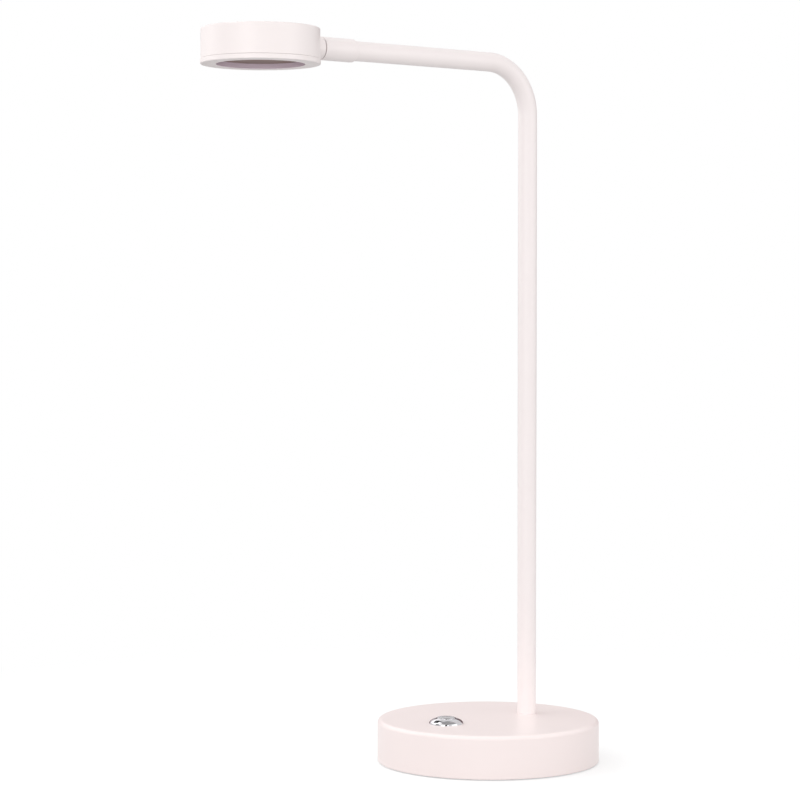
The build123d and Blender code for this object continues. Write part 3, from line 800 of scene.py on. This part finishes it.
# %% Powder coat
def powder_coat(name, colour, roughness, gloss=0.5):
    """A satin coat: a slow drift of colour, an orange-peel and fine specks."""
    finish = Finish(name)
    drift = finish.noise(18.0, detail=3.0)
    peel = finish.noise(900.0)
    speck = finish.noise(5200.0, detail=1.0)
    finish.set(
        Base_Color=finish.mix(drift, tone(colour, 0.985), tone(colour, 1.012)),
        Roughness=roughness - 0.03 + 0.05 * peel + 0.02 * speck,
        Specular_IOR_Level=gloss,
    )
    finish.relief(0.8 * peel + 0.2 * speck, 0.000012)
    return finish.material


# The three coats are one paint. The base's is given a lighter, pinker tone and the arm's and drum's a darker
# one: lit and shaded copies of one coat, which paint in how the light falls on each piece.
base_coat = powder_coat("base_coat", (0.955, 0.847, 0.832), 0.35, gloss=0.3)
arm_coat = powder_coat("arm_coat", (0.895, 0.825, 0.818), 0.36)
head_coat = powder_coat("head_coat", (0.89, 0.82, 0.81), 0.36)

# %% [markdown]
# The button is plated and polished. A perfect mirror would look drawn, so its gloss varies a little, with a
# haze and with the fine rings that polishing on a lathe leaves. A Mapping node centres the rings on the
# button, because they would otherwise run round the lamp's own axis.

# %% Polished metal of the button
def spun_chrome(name, colour):
    """Polished metal with the faint rings of a lathe round the button's axis."""
    finish = Finish(name)
    centred = finish.add(
        "ShaderNodeMapping", None, {"Vector": finish.place(), "Location": (-button_x, 0, 0)}
    )
    rings = finish.add(
        "ShaderNodeTexWave",
        {"wave_type": "RINGS", "rings_direction": "Z"},
        {"Vector": centred, "Scale": 900.0, "Distortion": 0.4, "Detail": 1.0},
        "Fac",
    )
    haze = finish.noise(260.0, detail=3.0)
    finish.set(
        Base_Color=finish.mix(haze, tone(colour, 0.94), tone(colour, 1.04)),
        Metallic=1.0,
        Roughness=0.05 + 0.05 * haze + 0.03 * rings,
    )
    finish.relief(rings, 0.0000006)
    return finish.material


button_chrome = spun_chrome("button_chrome", (0.62, 0.61, 0.63))

# %% [markdown]
# Under the drum, the cover plate is a satin plastic with a fine dimple pattern that scatters light.
# Its dark brownish grey is painted shade: it stands for the shade deep in the head's opening, not for a
# smoked plastic. A texture of cells gives the dimples as relief, since thousands of modelled ones would
# never show.

# %% Plastic of the cover plate
def dimpled_plate(name, colour):
    """Satin plastic with small round dimples."""
    finish = Finish(name)
    dimples = finish.add(
        "ShaderNodeTexVoronoi",
        {"feature": "SMOOTH_F1"},
        {"Vector": finish.place(), "Scale": 900.0, "Smoothness": 0.6},
        "Distance",
    )
    drift = finish.noise(60.0)
    finish.set(
        Base_Color=finish.mix(drift, tone(colour, 0.95), tone(colour, 1.05)),
        Roughness=0.55 + 0.12 * dimples,
        Specular_IOR_Level=0.15,
    )
    finish.relief(dimples, 0.00004)
    return finish.material


# The plate's dark colour is painted shade for the recess behind the opening.
plate_painted_shade = dimpled_plate("plate_painted_shade", (0.25, 0.175, 0.158))

# %% [markdown]
# The wall of the opening around the plate gets a mauve grey, darker than the drum's coat and paler than the
# plate, which is painted shade for the recess. It and the plastics and rubbers differ only in colour, gloss
# and grain, so one recipe serves them all. Noise swings about a half, so a formula with skin - 0.5 keeps the
# middle of the gloss where it was set.

# %% Moulded plastics and rubber
def moulded(name, colour, roughness, grain=1400.0, depth=0.00001):
    """Moulded plastic or rubber: an even colour with a fine eroded grain."""
    finish = Finish(name)
    drift = finish.noise(40.0)
    skin = finish.noise(grain, detail=3.0, rough=0.6)
    finish.set(
        Base_Color=finish.mix(drift, tone(colour, 0.93), tone(colour, 1.06)),
        Roughness=roughness + 0.12 * (skin - 0.5),
    )
    finish.relief(skin, depth)
    return finish.material


opening_shade_grey = moulded("opening_shade_grey", (0.72, 0.59, 0.67), 0.5)
bush_rubber = moulded("bush_rubber", (0.60, 0.53, 0.52), 0.6, grain=1800.0, depth=0.00002)
nylon = moulded("nylon", (0.74, 0.73, 0.69), 0.5)
terminal_plastic = moulded("terminal_plastic", (0.52, 0.54, 0.50), 0.45)
component_black = moulded("component_black", (0.02, 0.02, 0.021), 0.4)
lead_sheath = moulded("lead_sheath", (0.68, 0.66, 0.62), 0.5, grain=900.0)
led_phosphor = moulded("led_phosphor", (0.75, 0.58, 0.11), 0.3)

# %% [markdown]
# The foot pad is closed-cell foam: near black and matt, with pores of about half a millimetre. They come
# from a texture of cells too, which sinks them by a tenth of a millimetre and darkens them with painted
# shade.

# %% Foam
def pored_foam(name, colour):
    """Matt foam with fine pores, darkened with painted shade where they sink."""
    finish = Finish(name)
    pores = finish.add(
        "ShaderNodeTexVoronoi",
        None,
        {"Vector": finish.place(), "Scale": 1700.0, "Randomness": 1.0},
        "Distance",
    )
    drift = finish.noise(120.0, detail=3.0)
    finish.set(
        Base_Color=finish.mix(pores, tone(colour, 0.6), tone(colour, 1.3)),
        Roughness=0.82 + 0.12 * drift,
    )
    finish.relief(pores, 0.00012)
    return finish.material


pad_foam = pored_foam("pad_foam", (0.022, 0.021, 0.021))

# %% [markdown]
# The pieces inside the lamp show only when it is taken apart, and they still get finishes of their own.
# Plated, milled and cast metal differ in their grey, their gloss and the size of their grain, so they share
# one recipe with a noise for the grain.

# %% Metals inside the lamp
def bare_metal(name, colour, roughness, grain, depth):
    """Plated, milled or cast metal: a grey with a grain in its gloss."""
    finish = Finish(name)
    bloom = finish.noise(70.0, detail=4.0)
    skin = finish.noise(grain, detail=3.0, rough=0.6)
    finish.set(
        Base_Color=finish.mix(bloom, tone(colour, 0.85), tone(colour, 1.08)),
        Metallic=1.0,
        Roughness=roughness + 0.16 * (skin - 0.5),
    )
    finish.relief(skin, depth)
    return finish.material


zinc_steel = bare_metal("zinc_steel", (0.56, 0.57, 0.59), 0.32, grain=1500.0, depth=0.000006)
plate_aluminium = bare_metal("plate_aluminium", (0.70, 0.71, 0.72), 0.35, grain=2500.0, depth=0.000005)
ballast_iron = bare_metal("ballast_iron", (0.10, 0.10, 0.105), 0.62, grain=600.0, depth=0.00012)

# %% [markdown]
# On the circuit boards the weave of the glass cloth shows faintly through the solder mask. A wave texture in
# slanting bands is enough for that. The bottom plate is sheet steel under a duller, greyer powder coat.

# %% Circuit boards and the bottom plate
def laminate(name, colour, weave_scale):
    """Circuit board: a solder mask over a fine glass weave."""
    finish = Finish(name)
    weave = finish.add(
        "ShaderNodeTexWave",
        {"bands_direction": "DIAGONAL"},
        {"Vector": finish.place(), "Scale": weave_scale, "Distortion": 1.0},
        "Fac",
    )
    drift = finish.noise(90.0)
    finish.set(
        Base_Color=finish.mix(weave, tone(colour, 0.9), tone(colour, 1.08)),
        Roughness=0.28 + 0.1 * drift,
    )
    finish.relief(weave, 0.000004)
    return finish.material


driver_laminate = laminate("driver_laminate", (0.012, 0.075, 0.03), 700.0)
led_laminate = laminate("led_laminate", (0.80, 0.80, 0.77), 900.0)
cover_steel = powder_coat("cover_steel", (0.60, 0.58, 0.57), 0.5)

# %% [markdown]
# Each new piece takes its finish, its body and the solid that it stands for from one list, and the solids
# that stay as they are get the finish of their slot. The wall of the trim ring's opening gets a darker mauve
# grey, painted shade for the recess: its faces are picked by where they lie.

# %% Dress the pieces
dressed = [
    (base_cup, "stand", "base_shell", "base_paint", base_coat),
    (bent_tube, "stand", "arm_tube", "arm_paint", arm_coat),
    (arm_sleeve, "stand", "ferrule", "arm_paint", arm_coat),
    (button_ring, "stand", "button_bezel", "chrome", button_chrome),
    (cord_bush, "stand", "cord_grommet", "grommet_rubber", bush_rubber),
    (foam_pad, "stand", "foot_pad", "pad_foam", pad_foam),
    (push_cap, "button", "button_cap", "chrome", button_chrome),
    (lamp_drum, "head", "head_housing", "head_paint", head_coat),
    (trim_ring, "head", "head_bezel", "head_paint", head_coat),
    (cover_plate, "head", "diffuser", "diffuser_opal", plate_painted_shade),
]
for piece, body, node, slot, finish in dressed:
    piece.data.materials.clear()
    piece.data.materials.append(finish)
    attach(piece, body)
    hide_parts(node)
    print(piece.name, "stands for", node)

# %% Painted shade on the wall of the opening
# The mauve grey on these faces is painted shade for the recess, not a lining of its own.
wall_shade_reach = 0.0002
facing_in = 0.5
shaded_wall_faces = 0
trim_ring.data.materials.append(opening_shade_grey)
for face in trim_ring.data.polygons:
    inward = Vector((drum_x - face.center.x, -face.center.y, 0)).normalized()
    at_opening = abs(off_drum(face.center) - opening_radius) < wall_shade_reach
    if at_opening and face.normal.dot(inward) > facing_in:
        face.material_index = 1
        shaded_wall_faces += 1
print("faces with the lining's grey:", shaded_wall_faces)

# %% Finishes of the solids that stay
slot_finish = {
    "cover_steel": cover_steel,
    "zinc_steel": zinc_steel,
    "ballast_iron": ballast_iron,
    "driver_laminate": driver_laminate,
    "nylon": nylon,
    "terminal_plastic": terminal_plastic,
    "component_black": component_black,
    "lead_sheath": lead_sheath,
    "led_laminate": led_laminate,
    "led_phosphor": led_phosphor,
    "plate_aluminium": plate_aluminium,
}
replaced = {node for piece, body, node, slot, finish in dressed}
for part in frame["record"]["subparts"]:
    if part["node"] not in replaced:
        nodes[part["node"]].data.materials[0] = slot_finish[part["material_slot"]]
print("pieces modelled:", len(dressed), "solids kept:", len(nodes) - len(replaced))

# %% [markdown]
# The stage is a pale floor in a white room. A white page behind the lamp is drawn by the camera's own rays,
# and mirror rays see it too, while the light that reaches the paint stays at a plain level.

# %% White room
scene = bpy.context.scene
scene.view_settings.view_transform = "Standard"

room_light = 0.74
world = bpy.data.worlds.new("white_room")
world.use_nodes = True
scene.world = world
room = Nodes(world.node_tree)


def seen_directly(tree):
    """1 for rays from the camera, from mirrors and through glass, and 0 for the rest."""
    seen = tree.add("ShaderNodeLightPath", output="Is Camera Ray")
    seen = seen + tree.add("ShaderNodeLightPath", output="Is Glossy Ray")
    seen = seen + tree.add("ShaderNodeLightPath", output="Is Transmission Ray")
    return seen > 0.5


backdrop = world.node_tree.nodes["Background"]
backdrop.inputs["Color"].default_value = (1, 1, 1, 1)
feed(world.node_tree, backdrop.inputs["Strength"], room_light + (1 - room_light) * seen_directly(room))
print("room light:", room_light)

# %% [markdown]
# The floor adds some of that white to its own grey shading, so it looks white and still keeps the soft
# shadow of the base. Further out it fades into the page, and from below it is clear, so that the lamp's
# underside can be looked at.

# %% Floor
pure_white = (1, 1, 1)
floor_size = 8.0
floor_grey = 0.5
floor_white = 0.52
fade_start = 0.22
fade_end = 0.55
bpy.ops.object.select_all(action="DESELECT")
bpy.ops.mesh.primitive_plane_add(size=floor_size, location=(0, 0, 0))
floor = bpy.context.object
floor.name = "floor"
paper = Finish("floor_paper")
seen = seen_directly(paper)
away = paper.add("ShaderNodeVectorMath", {"operation": "LENGTH"}, {"Vector": paper.place()}, "Value")
fade = paper.add(
    "ShaderNodeMapRange",
    {"interpolation_type": "SMOOTHSTEP"},
    {"Value": away, "From Min": fade_start, "From Max": fade_end},
)
added_white = paper.mix(seen, tone(pure_white, 0), tone(pure_white, floor_white))
paper.set(
    Base_Color=tone(pure_white, floor_grey),
    Roughness=0.9,
    Emission_Color=added_white,
    Emission_Strength=1.0,
)
white = paper.add("ShaderNodeEmission", None, {"Color": tone(pure_white, 1), "Strength": 1.0})
lit = Socket(paper.tree, paper.shader.outputs[0])
page = paper.add("ShaderNodeMixShader", None, {"Fac": fade * seen, "Shader": lit, "Shader_001": white})
clear = paper.add("ShaderNodeBsdfTransparent")
below = paper.add("ShaderNodeNewGeometry", output="Backfacing")
sheet = paper.add("ShaderNodeMixShader", None, {"Fac": below, "Shader": page, "Shader_001": clear})
feed(paper.tree, paper.tree.nodes["Material Output"].inputs["Surface"], sheet)
floor.data.materials.append(paper.material)
print("floor:", floor_size, "m wide, plain white beyond", fade_end, "m")

# %% [markdown]
# Four soft boxes light the lamp: one high on the left, one lower and left of the camera, a weaker one on the
# right and a weak one behind. Each is about three or four times as broad as the lamp is tall, so the paint
# shades gently and no hard spot shows.

# %% Soft boxes
lamp_middle = Vector((-0.05, 0, 0.22))


def soft_box(name, place, width, height, power):
    """A broad lamp that faces the middle of the object."""
    bpy.ops.object.light_add(type="AREA", location=place)
    light = bpy.context.object
    light.name = name
    light.data.shape = "RECTANGLE"
    light.data.size = width
    light.data.size_y = height
    light.data.energy = power
    light.rotation_euler = (lamp_middle - Vector(place)).to_track_quat("-Z", "Y").to_euler()
    print(name, "gives", power, "watts")


soft_box("front_low", (-1.34, -1.13, 0.38), width=1.6, height=1.2, power=11.2)
soft_box("right", (0.59, -1.55, 0.52), width=1.2, height=1.2, power=5.8)
soft_box("left_high", (-1.0, 0.73, 1.25), width=1.8, height=1.8, power=9.6)
soft_box("rim_left", (0.15, 1.53, 0.94), width=1.2, height=1.2, power=3.2)

# %% [markdown]
# Bright metal only shows what stands around it, and in an all-white room it would look like plaster. A
# photographer puts up cards. Three dark ones, beside the camera, behind the lamp and on its left, draw the
# button's edges and spots. A warm grey one behind keeps the base's top a shade deeper than its side, and a
# grey one overhead keeps the tube's upper edge from glaring. A small pale one low behind lights the cap's
# top. Only mirror reflections see them.

# %% Cards for the reflections
def card(name, place, width, height, grey, tint=pure_white):
    """A flat card that faces the lamp and shows in mirror reflections only."""
    bpy.ops.object.select_all(action="DESELECT")
    bpy.ops.mesh.primitive_plane_add(size=1.0, location=place)
    board = bpy.context.object
    board.name = name
    board.scale = (width, height, 1.0)
    board.rotation_euler = (lamp_middle - Vector(place)).to_track_quat("-Z", "Y").to_euler()
    board.visible_camera = False
    board.visible_diffuse = False
    board.visible_shadow = False
    surface = Finish(name)
    surface.set(
        Base_Color=tone(pure_white, 0),
        Specular_IOR_Level=0.0,
        Emission_Color=tone(tint, grey),
        Emission_Strength=1.0,
    )
    board.data.materials.append(surface.material)
    print(name, "is", width, "by", height, "m")


card("dark_card", (-0.95, -1.15, 0.62), width=0.45, height=1.15, grey=0.05)
card("grey_card", (1.3, 1.6, 0.5), width=4.0, height=1.2, grey=0.23, tint=(1, 0.7, 0.74))
card("roof_card", (0.0, -0.3, 1.9), width=2.2, height=2.2, grey=0.5)
card("back_card", (-0.07, 0.96, 1.18), width=0.9, height=0.55, grey=0.08)
card("side_card", (-1.235, 0.29, 0.62), width=0.6, height=0.75, grey=0.05)
card("pale_card", (0.94, 1.27, 0.295), width=0.5, height=0.2, grey=0.75)
